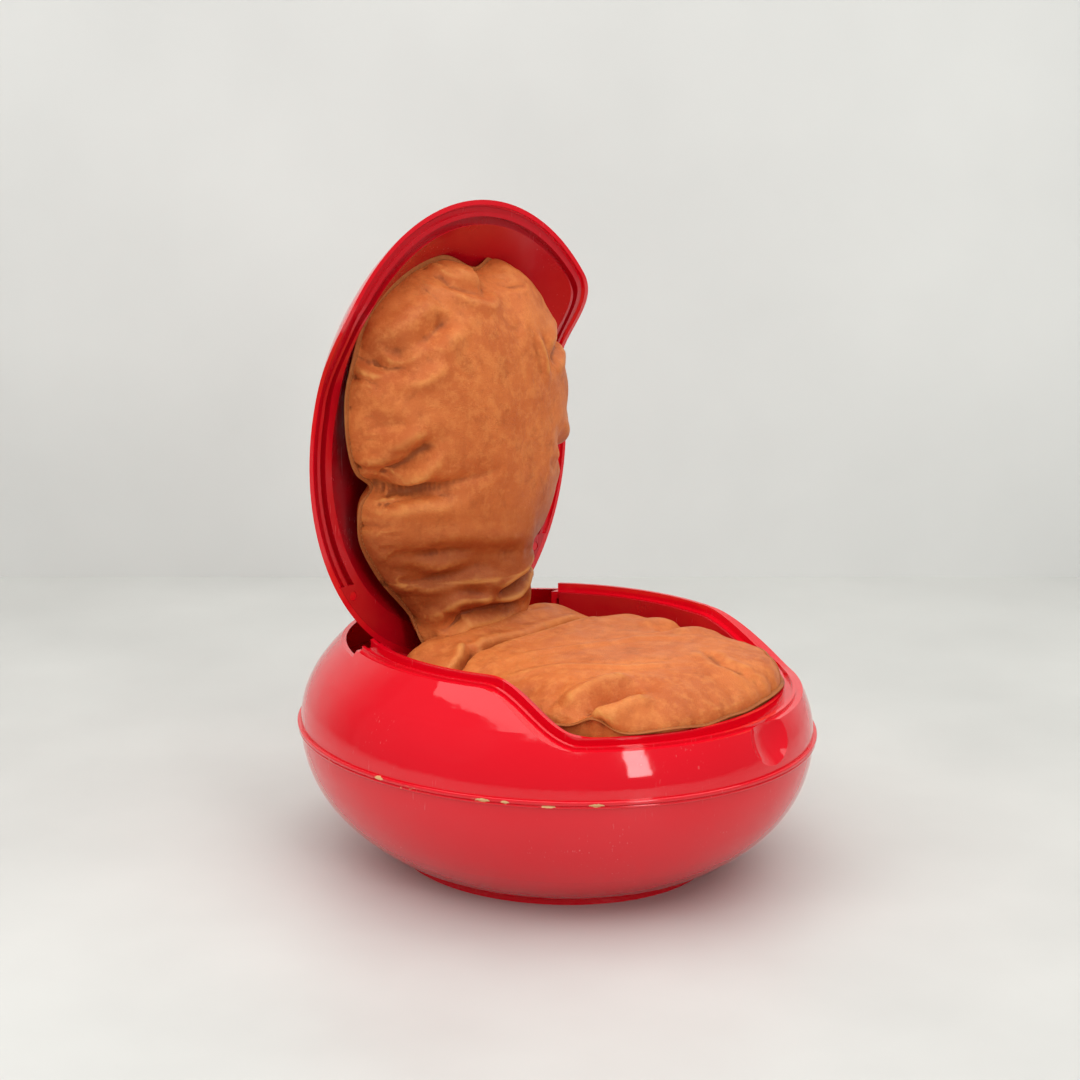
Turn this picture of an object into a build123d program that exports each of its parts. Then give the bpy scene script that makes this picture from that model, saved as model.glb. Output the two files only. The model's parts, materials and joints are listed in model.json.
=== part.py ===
"""Egg-shaped lounge chair whose upper half is a hinged lid that opens into a backrest.

Millimetres. Origin on the floor under the middle of the egg, +Z up, the sitter faces -Y.
The shells are turned as round eggs and then stretched along Y to the oval plan, so their
depths are drawn squeezed. The lid is drawn closed on the base and then opened about its hinge.
"""
from build123d import *
from math import cos, pi, radians, sin, sqrt
import os

# The egg: half sizes at the seam, and the arcs of its profile above and below it
half_width = 379.0
half_depth = 415.0
seam_height = 210.5
side_radius = 162.7
side_sweep = 35.2
shoulder_radius = 309.5
shoulder_sweep = 73.8
bowl_side_radius = 197.6
bowl_side_sweep = 44.5
bowl_lower_radius = 331.3
skin = 5.0

# Bead where the two halves of the base meet
bead_overhang = 5.0
bead_upper_height = 6.5
bead_lower_height = 5.0
bead_step = 1.0
bead_land = 7.0
bead_round = 2.2

# Foot ring under the bowl
foot_half_width = 233.0
foot_half_depth = 254.0
foot_band = 28.0
foot_height = 10.0
foot_screw_count = 6

# Parting line between lid and base, seen from the side
side_rim_height = 352.0
front_rim_height = 283.0
rim_dip_start = -95.0
rim_dip_end = -262.0
rim_rear_end = 174.0
pocket_edge_height = 344.0
rim_gap = 0.6

# Stepped rim of the base, as insets from the parting line and heights over it
ridge_inset = 10.0
ridge_width = 5.0
ridge_height = 4.0
groove_depth = 2.0
tongue_inset = 26.0
tongue_width = 6.0
tongue_height = 11.0
rim_land = 46.0
rim_flange = 12.0
end_wall = 6.0

# Lid
lid_skin = 6.0
lid_thickness = 30.0
liner_skin = 5.0
lid_rim_depth = 16.0
groove_play = 2.5
groove_end_play = 6.0
bond_gap = 0.3

# Finger recess in the front of the base
recess_radius = 100.0
recess_depth = 13.0
recess_angle = 19.5
recess_wall = 6.0

# Seat basin
basin_floor_height = 150.0
basin_wall = 5.0
basin_rear = 165.0
basin_lip = 12.0
basin_lip_thickness = 4.0
basin_rim_drop = 1.0
ledge_height = 273.0

# Hinge
hinge_y = 243.0
hinge_z = 376.0
open_angle = 90.7
hinge_spacing = 120.0
arm_thickness = 12.0
arm_width = 16.0
boss_radius = 10.0
pin_radius = 4.0
pin_play = 0.05
pin_head_radius = 6.0
pin_head = 2.0
lug_thickness = 5.0
lug_radius = 9.0
lug_gap = 0.3
leaf_width = 46.0
leaf_thickness = 4.0
leaf_front = 150.0
leaf_rear = 205.0
pad_margin = 2.0
hinge_slot_radius = 38.0
hinge_slot_play = 2.0
foot_plate = 4.0
foot_plate_width = 48.0
upright_front = 168.0
upright_rear = 198.0
upright_height = 41.0
elbow_y = 178.0
elbow_z = 322.0
buffer_radius = 9.0
buffer_height = 27.0
buffer_gap = 1.6

# Screws
screw_radius = 2.5
screw_length = 8.0
screw_hole_play = 0.2
screw_head_radius = 5.0
screw_head = 3.0
screw_margin = 6.0

# Round caps on the lid's rim
cap_x = half_width - 158.0
cap_y = 198.0
cap_radius = 7.0
cap_thickness = 4.0
cap_depth = 1.0
cap_play = 0.3

# Cushions, with the back cushion's heights as they are on the closed lid
cover_thickness = 3.0
panel_thickness = 2.0
seat_rim_height = 296.0
seat_crown_height = 364.0
seat_low_height = 328.0
seat_fold_front = 4.0
seat_fold_rear = 44.0
seat_half_width = half_width - 144.0
seat_front = 81.0 - half_depth
seat_rear = 150.0
back_panel_height = 397.0
back_seam_height = 338.0
back_crown_height = 200.0
back_peak = 9.0
back_neck = 70.0
back_half_width = half_width - 143.0
back_front = 115.0 - half_depth
back_rear = 228.0
stud_radius = 6.0
stud_spacing = 100.0
stud_rows = (-80.0, 20.0)
dome_levels = (0.25, 0.47, 0.67, 0.83, 0.94, 0.99)
dome_power = 0.55
dome_bend = 2.5

# Reach of the cutting blocks, larger than the chair
reach = 600.0

sides = {"left": 1, "right": -1}
stretch = half_depth / half_width
hinge_axis = Axis((0, hinge_y, hinge_z), (1, 0, 0))


def polar(centre, radius, angle):
    """Point in the profile plane at an angle in degrees from the horizontal."""
    return (centre[0] + radius * cos(radians(angle)), 0, centre[1] + radius * sin(radians(angle)))


def upper_centres():
    """Centres of the side, shoulder and crown arcs, and the crown's radius."""
    side = (half_width - side_radius, seam_height)
    gap = shoulder_radius - side_radius
    shoulder = (side[0] - gap * cos(radians(side_sweep)), side[1] - gap * sin(radians(side_sweep)))
    crown_radius = shoulder_radius + shoulder[0] / cos(radians(shoulder_sweep))
    rise = (crown_radius - shoulder_radius) * sin(radians(shoulder_sweep))
    return side, shoulder, (0.0, shoulder[1] - rise), crown_radius


def arc_of(centre, radius, start, end):
    """Arc between two angles about a centre."""
    middle = polar(centre, radius, (start + end) / 2)
    return ThreePointArc(polar(centre, radius, start), middle, polar(centre, radius, end))


def upper_egg(inset=0.0):
    """Round solid inside the upper half of the egg by the inset."""
    side, shoulder, crown, crown_radius = upper_centres()
    outline = arc_of(side, side_radius - inset, 0, side_sweep)
    outline += arc_of(shoulder, shoulder_radius - inset, side_sweep, shoulder_sweep)
    outline += arc_of(crown, crown_radius - inset, shoulder_sweep, 90)
    outline += Polyline(
        polar(crown, crown_radius - inset, 90), (0, 0, seam_height), polar(side, side_radius - inset, 0))
    return revolve(make_face(outline), Axis.Z, 360)


def upper_radius(height):
    """Radius of the round egg at a height above the seam."""
    side, shoulder, crown, crown_radius = upper_centres()
    arcs = [
        (side, side_radius, side_sweep),
        (shoulder, shoulder_radius, shoulder_sweep),
        (crown, crown_radius, 90),
    ]
    for centre, radius, end in arcs:
        if height <= polar(centre, radius, end)[2]:
            return centre[0] + sqrt(radius**2 - (height - centre[1]) ** 2)
    return 0.0


def lower_egg(inset, bottom):
    """Round solid inside the lower half of the egg, above a flat bottom."""
    side = (half_width - bowl_side_radius, seam_height)
    gap = bowl_lower_radius - bowl_side_radius
    lower = (side[0] - gap * cos(radians(bowl_side_sweep)), side[1] + gap * sin(radians(bowl_side_sweep)))
    outline = arc_of(side, bowl_side_radius - inset, 0, -bowl_side_sweep)
    outline += arc_of(lower, bowl_lower_radius - inset, -bowl_side_sweep, -90)
    outline += Polyline(
        polar(lower, bowl_lower_radius - inset, -90), (lower[0], 0, seam_height),
        polar(side, bowl_side_radius - inset, 0))
    ring = revolve(make_face(outline), Axis.Z, 360)
    ring += Pos(0, 0, seam_height) * Cylinder(
        lower[0], seam_height - polar(lower, bowl_lower_radius - inset, -90)[2],
        align=(Align.CENTER, Align.CENTER, Align.MAX))
    return ring - block((-reach, reach), (-reach, reach), (-reach, bottom))


def stretched(piece):
    """Stretch a round piece along Y to the oval plan."""
    return scale(piece, by=(1, stretch, 1))


def block(x, y, z):
    """Box given by its lowest and highest values on each axis."""
    size = Box(x[1] - x[0], y[1] - y[0], z[1] - z[0])
    return Pos((x[0] + x[1]) / 2, (y[0] + y[1]) / 2, (z[0] + z[1]) / 2) * size


def slab(y, z=(0.0, reach)):
    """Full-width block of the squeezed space, given by its true depths and heights."""
    return block((-reach, reach), (y[0] / stretch, y[1] / stretch), z)


def over_parting(offset):
    """Block of the squeezed space above the parting line moved up by the offset."""
    low = front_rim_height + offset
    high = side_rim_height + offset
    start = rim_dip_end / stretch
    end = rim_dip_start / stretch
    third = (end - start) / 3
    dip = Bezier((0, start, low), (0, start + third, low), (0, end - third, high), (0, end, high))
    rest = Polyline(
        (0, end, high), (0, reach, high), (0, reach, reach), (0, -reach, reach), (0, -reach, low), (0, start, low))
    return extrude(make_face(dip + rest), amount=reach, dir=(1, 0, 0), both=True)


def rim_prism(inset, low=0.0, high=reach):
    """Upright prism of the squeezed space whose outline runs inside the parting line by the inset."""
    front_full = upper_radius(front_rim_height)
    side_full = upper_radius(side_rim_height)
    front = front_full - inset
    side = side_full - inset
    front_sine = rim_dip_end / stretch / front_full
    side_sine = rim_dip_start / stretch / side_full
    front_way = (sqrt(1 - front_sine**2), front_sine)
    side_way = (sqrt(1 - side_sine**2), side_sine)
    corners = []
    flanks = []
    for hand in (1, -1):
        near = (hand * front * front_way[0], front * front_way[1])
        far = (hand * side * side_way[0], side * side_way[1])
        tangents = [(-hand * front_way[1], front_way[0]), (-hand * side_way[1], side_way[0])]
        corners.append((near, far))
        flanks.append(Spline(near, far, tangents=tangents))
    (right_near, right_far), (left_near, left_far) = corners
    outline = ThreePointArc(left_near, (0, -front), right_near) + flanks[0]
    outline += ThreePointArc(right_far, (0, side), left_far) + flanks[1]
    return Pos(0, 0, low) * extrude(make_face(outline), amount=high - low)


def rim_band(inset, width):
    """Upright band that follows the parting line, for a ridge or a groove."""
    return rim_prism(inset) - rim_prism(inset + width)


def oval_ring(width, depth, band, low, high):
    """Flat oval ring between two heights."""
    face = Ellipse(width, depth) - Ellipse(width - band, depth - band)
    return Pos(0, 0, low) * extrude(face, amount=high - low)


def cross_cylinder(radius, x, y, z):
    """Cylinder along X between two values of x."""
    rod = Cylinder(radius, x[1] - x[0], rotation=(0, 90, 0))
    return Pos((x[0] + x[1]) / 2, y, z) * rod


def screw(place, up):
    """Pan-head screw whose head seats at the place; its shank points up or down."""
    shank = Cylinder(screw_radius, screw_length, align=(Align.CENTER, Align.CENTER, Align.MIN))
    head = Cylinder(screw_head_radius, screw_head, align=(Align.CENTER, Align.CENTER, Align.MAX))
    return Pos(*place) * Rot(0 if up else 180, 0, 0) * (shank + head)


def screw_hole(place, up):
    """Hole for the shank of a screw, a little longer and wider than it."""
    size = screw_length + screw_hole_play
    hole = Cylinder(screw_radius + screw_hole_play, size, align=(Align.CENTER, Align.CENTER, Align.MIN))
    return Pos(*place) * Rot(0 if up else 180, 0, 0) * hole


def foot_screw_places():
    """Seats of the screws that hold the foot ring, on the middle of its band."""
    places = []
    for step in range(foot_screw_count):
        turn = 2 * pi * (step + 0.5) / foot_screw_count
        x = (foot_half_width - foot_band / 2) * cos(turn)
        y = (foot_half_depth - foot_band / 2) * sin(turn)
        places.append((x, y, foot_height / 2))
    return places


def rounded_lip(overhang, low, high):
    """Half of the seam bead: a round ring with a rounded outer edge."""
    outer = half_width + overhang
    ring = Cylinder(outer, high - low) - Cylinder(half_width - bead_land, high - low)
    outer_edges = ring.edges().filter_by(GeomType.CIRCLE).sort_by(SortBy.RADIUS)[-2:]
    return Pos(0, 0, (low + high) / 2) * fillet(outer_edges, bead_round)


def make_lower_bowl():
    bowl = lower_egg(0, foot_height) - lower_egg(skin, foot_height + skin)
    bowl += rounded_lip(bead_overhang - bead_step, seam_height - bead_lower_height, seam_height)
    bowl = stretched(bowl)
    for place in foot_screw_places():
        bowl -= screw_hole(place, up=True)
    return bowl


def make_foot_ring():
    ring = oval_ring(foot_half_width, foot_half_depth, foot_band, 0, foot_height)
    for x, y, z in foot_screw_places():
        ring -= screw_hole((x, y, z), up=True)
        ring -= Pos(x, y, z / 2) * Cylinder(screw_head_radius + screw_hole_play, z)
    return ring


def recess_ball(growth=0.0):
    """Ball of the squeezed space that presses the finger recess into the front."""
    side = upper_centres()[0]
    centre = polar(side, side_radius + recess_radius - recess_depth, recess_angle)
    return Pos(0, -centre[0], centre[2]) * Sphere(recess_radius + growth)


def recess_pan():
    """Solid wall of the squeezed space behind the finger recess."""
    band = slab((-reach, 0), (seam_height, front_rim_height - groove_depth))
    return upper_egg() & recess_ball(recess_wall) & band


def make_upper_shell():
    inside = upper_egg(skin)
    front_hollow = inside & slab((-reach, rim_rear_end - end_wall))
    shell = upper_egg() - over_parting(0)
    shell -= front_hollow - over_parting(-rim_flange)
    shell -= inside & slab((rim_rear_end, reach))
    shell -= slab((rim_rear_end, reach), (pocket_edge_height, reach))
    shell += recess_pan()
    groove_start = ridge_inset + ridge_width
    shell -= rim_band(groove_start, tongue_inset - groove_start) & over_parting(-groove_depth)
    root = over_parting(-rim_flange / 2) & slab((-reach, rim_rear_end))
    shell += (rim_band(ridge_inset, ridge_width) & root) - over_parting(ridge_height)
    shell += (rim_band(tongue_inset, tongue_width) & root) - over_parting(tongue_height)
    shell -= rim_prism(rim_land)
    shell -= recess_ball()
    shell += rounded_lip(bead_overhang, seam_height, seam_height + bead_upper_height)
    return stretched(shell)


def make_seat_basin():
    outer = rim_land + bond_gap
    inner = outer + basin_wall
    floor = basin_floor_height + basin_wall
    ledge = (ledge_height - basin_wall, ledge_height)
    tub_rear = basin_rear - basin_wall
    basin = rim_prism(outer, basin_floor_height) & slab((-reach, basin_rear))
    basin -= rim_prism(inner, floor) & slab((-reach, tub_rear))
    basin -= over_parting(-basin_rim_drop)
    basin -= slab((tub_rear, reach), (ledge_height, reach))
    lip = rim_band(rim_land - basin_lip, basin_lip + bond_gap + basin_wall / 2)
    lip &= over_parting(-rim_flange - bond_gap - basin_lip_thickness)
    lip -= over_parting(-rim_flange - bond_gap)
    basin += lip & slab((-reach, tub_rear))
    neck_end = rim_rear_end + 2 * basin_wall
    basin += rim_prism(outer, *ledge) & slab((tub_rear, neck_end), ledge)
    basin += upper_egg(skin + bond_gap) & slab((rim_rear_end + bond_gap, reach), ledge)
    basin = stretched(basin)
    for side in sides.values():
        for place in bracket_screw_places(side):
            basin -= screw_hole(place, up=False)
    return basin


def hinge_centre(side):
    """Place across the width of the middle of one hinge."""
    return side * hinge_spacing / 2


def bracket_screw_places(side):
    offset = (arm_thickness + foot_plate_width) / 4
    places = []
    for across in (-offset, offset):
        for y in (upright_front + screw_margin, upright_rear - screw_margin):
            places.append((hinge_centre(side) + across, y, ledge_height + foot_plate))
    return places


def make_hinge_bracket(side):
    """Gooseneck: a foot on the ledge, an upright and an arm that reaches back to the pivot."""
    x = hinge_centre(side)
    half = arm_thickness / 2
    foot = block(
        (x - foot_plate_width / 2, x + foot_plate_width / 2),
        (upright_front - foot_plate, upright_rear + foot_plate),
        (ledge_height, ledge_height + foot_plate))
    upright = block((x - half, x + half), (upright_front, upright_rear), (ledge_height, ledge_height + upright_height))
    along = Vector(0, hinge_y - elbow_y, hinge_z - elbow_z)
    middle = Vector(x, (hinge_y + elbow_y) / 2, (hinge_z + elbow_z) / 2)
    plane = Plane(middle, x_dir=along, z_dir=(1, 0, 0))
    arm = extrude(plane * SlotCenterToCenter(along.length, arm_width), amount=half, both=True)
    boss = cross_cylinder(boss_radius, (x - half, x + half), hinge_y, hinge_z)
    bracket = foot + upright + arm + boss
    bracket -= cross_cylinder(pin_radius + pin_play, (x - reach, x + reach), hinge_y, hinge_z)
    for place in bracket_screw_places(side):
        bracket -= screw_hole(place, up=False)
    return bracket


def make_stop_buffer(side):
    """Rubber stop between the upright and the open lid's rim."""
    rest = hinge_y - (hinge_z - side_rim_height - rim_gap) - buffer_gap
    plug = Cylinder(buffer_radius, rest - upright_rear, rotation=(90, 0, 0))
    return Pos(hinge_centre(side), (rest + upright_rear) / 2, ledge_height + buffer_height) * plug


def lid_grooves(outer_edge):
    """The two grooves in the lid's rim that take the ridge and the tongue of the base."""
    ridge = rim_band(outer_edge, ridge_inset + ridge_width + groove_play - outer_edge)
    ridge -= over_parting(ridge_height + 2 * rim_gap)
    tongue = rim_band(tongue_inset - groove_play, tongue_width + 2 * groove_play)
    tongue -= over_parting(tongue_height + 2 * rim_gap)
    return (ridge + tongue) & slab((-reach, rim_rear_end + groove_end_play))


def make_lid_outer_shell():
    shell = upper_egg() - upper_egg(lid_skin)
    shell &= over_parting(rim_gap)
    return stretched(shell - lid_grooves(ridge_inset - groove_play))


def hinge_pad(side):
    """Flat seat on the liner for one hinge leaf, in the squeezed space."""
    x = hinge_centre(side)
    half = leaf_width / 2 + pad_margin
    depths = ((leaf_front - pad_margin) / stretch, leaf_rear / stretch)
    return block((x - half, x + half), depths, (hinge_z + leaf_thickness, reach))


def make_lid_liner():
    outside = upper_egg(lid_thickness - liner_skin)
    rim = upper_egg(lid_skin + bond_gap) - over_parting(lid_rim_depth)
    liner = (rim + outside) - upper_egg(lid_thickness)
    for side in sides.values():
        liner += hinge_pad(side) & outside
    liner &= over_parting(rim_gap)
    liner = stretched(liner - lid_grooves(0.0))
    for side in sides.values():
        x = hinge_centre(side)
        half = arm_thickness / 2 + lug_gap + lug_thickness + pin_head + hinge_slot_play
        liner -= cross_cylinder(hinge_slot_radius, (x - half, x + half), hinge_y, hinge_z)
        liner -= Pos(side * cap_x, cap_y, side_rim_height) * Cylinder(
            cap_radius + cap_play, 2 * (rim_gap + cap_depth + cap_thickness))
        for place in leaf_screw_places(side):
            liner -= screw_hole(place, up=True)
    return liner


def leaf_screw_places(side):
    across = leaf_width / 2 - screw_margin
    places = []
    for dx in (-across, across):
        for y in (leaf_front + screw_margin, (leaf_front + leaf_rear) / 2):
            places.append((hinge_centre(side) + dx, y, hinge_z))
    return places


def make_hinge_leaf(side):
    """Plate under the liner's pad with two lugs that straddle the bracket's boss."""
    x = hinge_centre(side)
    half = leaf_width / 2
    leaf = block((x - half, x + half), (leaf_front, leaf_rear), (hinge_z, hinge_z + leaf_thickness))
    start = arm_thickness / 2 + lug_gap
    for hand in (-1, 1):
        ends = sorted((x + hand * start, x + hand * (start + lug_thickness)))
        leaf += cross_cylinder(lug_radius, ends, hinge_y, hinge_z)
        leaf += block(
            ends, (leaf_rear - lug_radius, hinge_y), (hinge_z - lug_radius / 2, hinge_z + leaf_thickness))
    leaf -= cross_cylinder(pin_radius + pin_play, (x - reach, x + reach), hinge_y, hinge_z)
    for place in leaf_screw_places(side):
        leaf -= screw_hole(place, up=True)
    return leaf


def make_hinge_pin(side):
    """Pin with a head at each end, through the lugs and the boss."""
    x = hinge_centre(side)
    half = arm_thickness / 2 + lug_gap + lug_thickness
    pin = cross_cylinder(pin_radius, (x - half, x + half), hinge_y, hinge_z)
    for ends in ((x - half - pin_head, x - half), (x + half, x + half + pin_head)):
        pin += cross_cylinder(pin_head_radius, ends, hinge_y, hinge_z)
    return pin


def make_rim_cap(side):
    low = side_rim_height + rim_gap + cap_depth
    disc = Cylinder(cap_radius, cap_thickness, align=(Align.CENTER, Align.CENTER, Align.MIN))
    return Pos(side * cap_x, cap_y, low) * disc


def seat_outline(level, front, rear, half):
    """Plan of the seat cushion: a rounded front, bowed sides and a nearly straight rear."""
    length = rear - front
    corner = (0.84 * half, rear)
    side = (half, rear - 0.42 * length)
    shoulder = (0.76 * half, front + 0.15 * length)
    arcs = ThreePointArc((-corner[0], corner[1]), (0, rear + 0.01 * length), corner)
    arcs += ThreePointArc(corner, side, shoulder)
    arcs += ThreePointArc(shoulder, (0, front), (-shoulder[0], shoulder[1]))
    arcs += ThreePointArc((-shoulder[0], shoulder[1]), (-side[0], side[1]), (-corner[0], corner[1]))
    return Pos(0, 0, level) * make_face(arcs)


def back_outline(level, front, rear, half):
    """Plan of the back cushion on the closed lid: two lobes with the sides drawn in between."""
    length = rear - front
    right = [
        (0.62 * half, rear - 0.05 * length),
        (0.96 * half, rear - 0.22 * length),
        (0.955 * half, rear - 0.42 * length),
        (half, rear - 0.58 * length),
        (0.74 * half, rear - 0.86 * length),
    ]
    left = [(-x, y) for x, y in right]
    arcs = ThreePointArc(left[0], (0, rear), right[0])
    arcs += ThreePointArc(right[0], right[1], right[2])
    arcs += ThreePointArc(right[2], right[3], right[4])
    arcs += ThreePointArc(right[4], (0, front), left[4])
    arcs += ThreePointArc(left[4], left[3], left[2])
    arcs += ThreePointArc(left[2], left[1], left[0])
    return Pos(0, 0, level) * make_face(arcs)


def dome_share(level):
    """Share of a cushion's outline that is left at a share of its crown's height."""
    return (1 - level ** (1 / dome_power)) ** (1 / dome_bend)


def dome_sections(outline, base, rise, front, rear, half, peak, neck=0.0):
    """Sections of a crowned cushion that shrink towards its peak, with a neck at the rear."""
    sections = []
    for level in dome_levels:
        share = dome_share(level)
        reach = peak + (rear - peak) * share + neck * 4 * level * (1 - level)
        sections.append(outline(base + level * rise, peak + (front - peak) * share, reach, half * share))
    return sections


def seat_base_outline(shrink):
    base = basin_floor_height + basin_wall + panel_thickness
    half = seat_half_width - shrink - 10
    return seat_outline(base, seat_front + shrink + 10, seat_rear - shrink - 4, half)


def seat_form(shrink):
    """Seat cushion: a body that fills the basin, a crowned front pad and a low rear part."""
    rim = seat_rim_height
    front = seat_front + shrink
    rear = seat_rear - shrink
    half = seat_half_width - shrink
    body = loft([seat_base_outline(shrink), seat_outline(rim, front, rear, half)], ruled=True)
    crowns = {
        (front, seat_fold_rear - shrink): seat_crown_height - shrink - rim,
        (seat_fold_front + shrink, rear): seat_low_height - shrink - rim,
    }
    for (start, end), rise in crowns.items():
        rim_outline = seat_outline(rim, start, end, half)
        sections = dome_sections(seat_outline, rim, rise, start, end, half, (start + end) / 2)
        body += loft([rim_outline, *sections], ruled=True)
    return body


def back_panel_outline(shrink):
    """Flat back of the back cushion, on the closed lid."""
    half = back_half_width - shrink - 136
    return back_outline(back_panel_height, back_front + shrink + 170, back_rear - shrink - 168, half)


def back_form(shrink):
    """Back cushion on the closed lid: a bowl that fits the liner, then a crown with a neck."""
    top = back_panel_height
    seam = back_seam_height
    front = back_front + shrink
    rear = back_rear - shrink
    half = back_half_width - shrink
    bowl = top - seam
    rise = back_crown_height + shrink - seam
    sections = [
        back_panel_outline(shrink),
        back_outline(top - 0.22 * bowl, front + 105, rear - 118, half - 86),
        back_outline(top - 0.42 * bowl, front + 65, rear - 93, half - 56),
        back_outline(top - 0.60 * bowl, front + 42, rear - 28, half - 31),
        back_outline(seam, front + 4, rear, half),
        *dome_sections(back_outline, seam, rise, front, rear, half, back_peak, back_neck),
    ]
    return loft(sections, ruled=True)


def make_cushion(form):
    """Cover with an open back, and the foam inside it."""
    return form(0) - form(cover_thickness), form(cover_thickness + bond_gap)


def make_seat_base_panel():
    panel = extrude(seat_base_outline(0), amount=panel_thickness, dir=(0, 0, 1))
    return Pos(0, 0, -panel_thickness) * panel


def make_back_panel():
    return extrude(back_panel_outline(0), amount=panel_thickness, dir=(0, 0, 1))


def make_cushion_studs():
    """Press studs between the back panel and the liner, cut to the liner's curve."""
    inside = stretched(upper_egg(lid_thickness + bond_gap))
    low = back_panel_height + panel_thickness
    studs = []
    for x in (-stud_spacing / 2, stud_spacing / 2):
        for y in stud_rows:
            rod = Cylinder(stud_radius, reach, align=(Align.CENTER, Align.CENTER, Align.MIN))
            studs.append((Pos(x, y, low) * rod) & inside)
    return group(studs)


def group(pieces):
    """Separate solids as one piece."""
    whole = Part()
    for piece in pieces:
        whole += piece
    return whole


def make_screws(places, up):
    return group(screw(place, up) for place in places)


def open_lid(piece):
    """Turn a piece of the closed lid to the open rest pose."""
    return piece.rotate(hinge_axis, -open_angle)


def base_pieces():
    cover, foam = make_cushion(seat_form)
    bracket_places = [place for side in sides.values() for place in bracket_screw_places(side)]
    pieces = {
        "lower_bowl": make_lower_bowl(),
        "foot_ring": make_foot_ring(),
        "foot_ring_screws": make_screws(foot_screw_places(), up=True),
        "upper_shell": make_upper_shell(),
        "seat_basin": make_seat_basin(),
        "bracket_screws": make_screws(bracket_places, up=False),
        "seat_cushion_cover": cover,
        "seat_cushion_foam": foam,
        "seat_cushion_base_panel": make_seat_base_panel(),
    }
    for name, side in sides.items():
        pieces["hinge_bracket_" + name] = make_hinge_bracket(side)
        pieces["stop_buffer_" + name] = make_stop_buffer(side)
    return pieces


def lid_pieces():
    cover, foam = make_cushion(back_form)
    leaf_places = [place for side in sides.values() for place in leaf_screw_places(side)]
    pieces = {
        "lid_outer_shell": make_lid_outer_shell(),
        "lid_liner": make_lid_liner(),
        "leaf_screws": make_screws(leaf_places, up=True),
        "back_cushion_cover": cover,
        "back_cushion_foam": foam,
        "back_cushion_back_panel": make_back_panel(),
        "cushion_studs": make_cushion_studs(),
    }
    for name, side in sides.items():
        pieces["hinge_leaf_" + name] = make_hinge_leaf(side)
        pieces["hinge_pin_" + name] = make_hinge_pin(side)
        pieces["rim_cap_" + name] = make_rim_cap(side)
    return {name: open_lid(piece) for name, piece in pieces.items()}


os.makedirs("parts", exist_ok=True)
for node, piece in {**base_pieces(), **lid_pieces()}.items():
    export_step(piece, "parts/" + node + ".step")
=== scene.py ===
"""Looks of the egg chair: lacquered shells, leather cushions, a pale studio and the camera.

Metres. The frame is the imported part's: origin on the floor, +Z up, the sitter faces -Y.
"""

import json
import math
from itertools import pairwise

import bmesh
import bpy
import numpy as np
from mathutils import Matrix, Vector


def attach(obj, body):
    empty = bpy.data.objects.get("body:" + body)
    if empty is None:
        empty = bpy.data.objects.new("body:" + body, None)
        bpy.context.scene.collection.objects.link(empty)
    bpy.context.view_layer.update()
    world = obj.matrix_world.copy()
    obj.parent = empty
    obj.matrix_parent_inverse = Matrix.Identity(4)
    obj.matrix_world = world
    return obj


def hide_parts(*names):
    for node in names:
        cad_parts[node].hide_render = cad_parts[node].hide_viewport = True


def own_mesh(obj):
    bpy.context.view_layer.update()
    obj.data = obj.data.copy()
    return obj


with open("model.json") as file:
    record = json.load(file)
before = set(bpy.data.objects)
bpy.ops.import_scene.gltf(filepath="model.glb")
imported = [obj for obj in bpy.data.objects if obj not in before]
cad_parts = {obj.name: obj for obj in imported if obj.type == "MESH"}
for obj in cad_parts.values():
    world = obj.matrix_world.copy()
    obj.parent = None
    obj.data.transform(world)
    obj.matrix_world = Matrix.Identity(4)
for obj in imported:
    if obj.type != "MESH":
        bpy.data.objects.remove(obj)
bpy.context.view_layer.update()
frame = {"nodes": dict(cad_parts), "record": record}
nodes = frame["nodes"]
scene = bpy.context.scene


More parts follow.
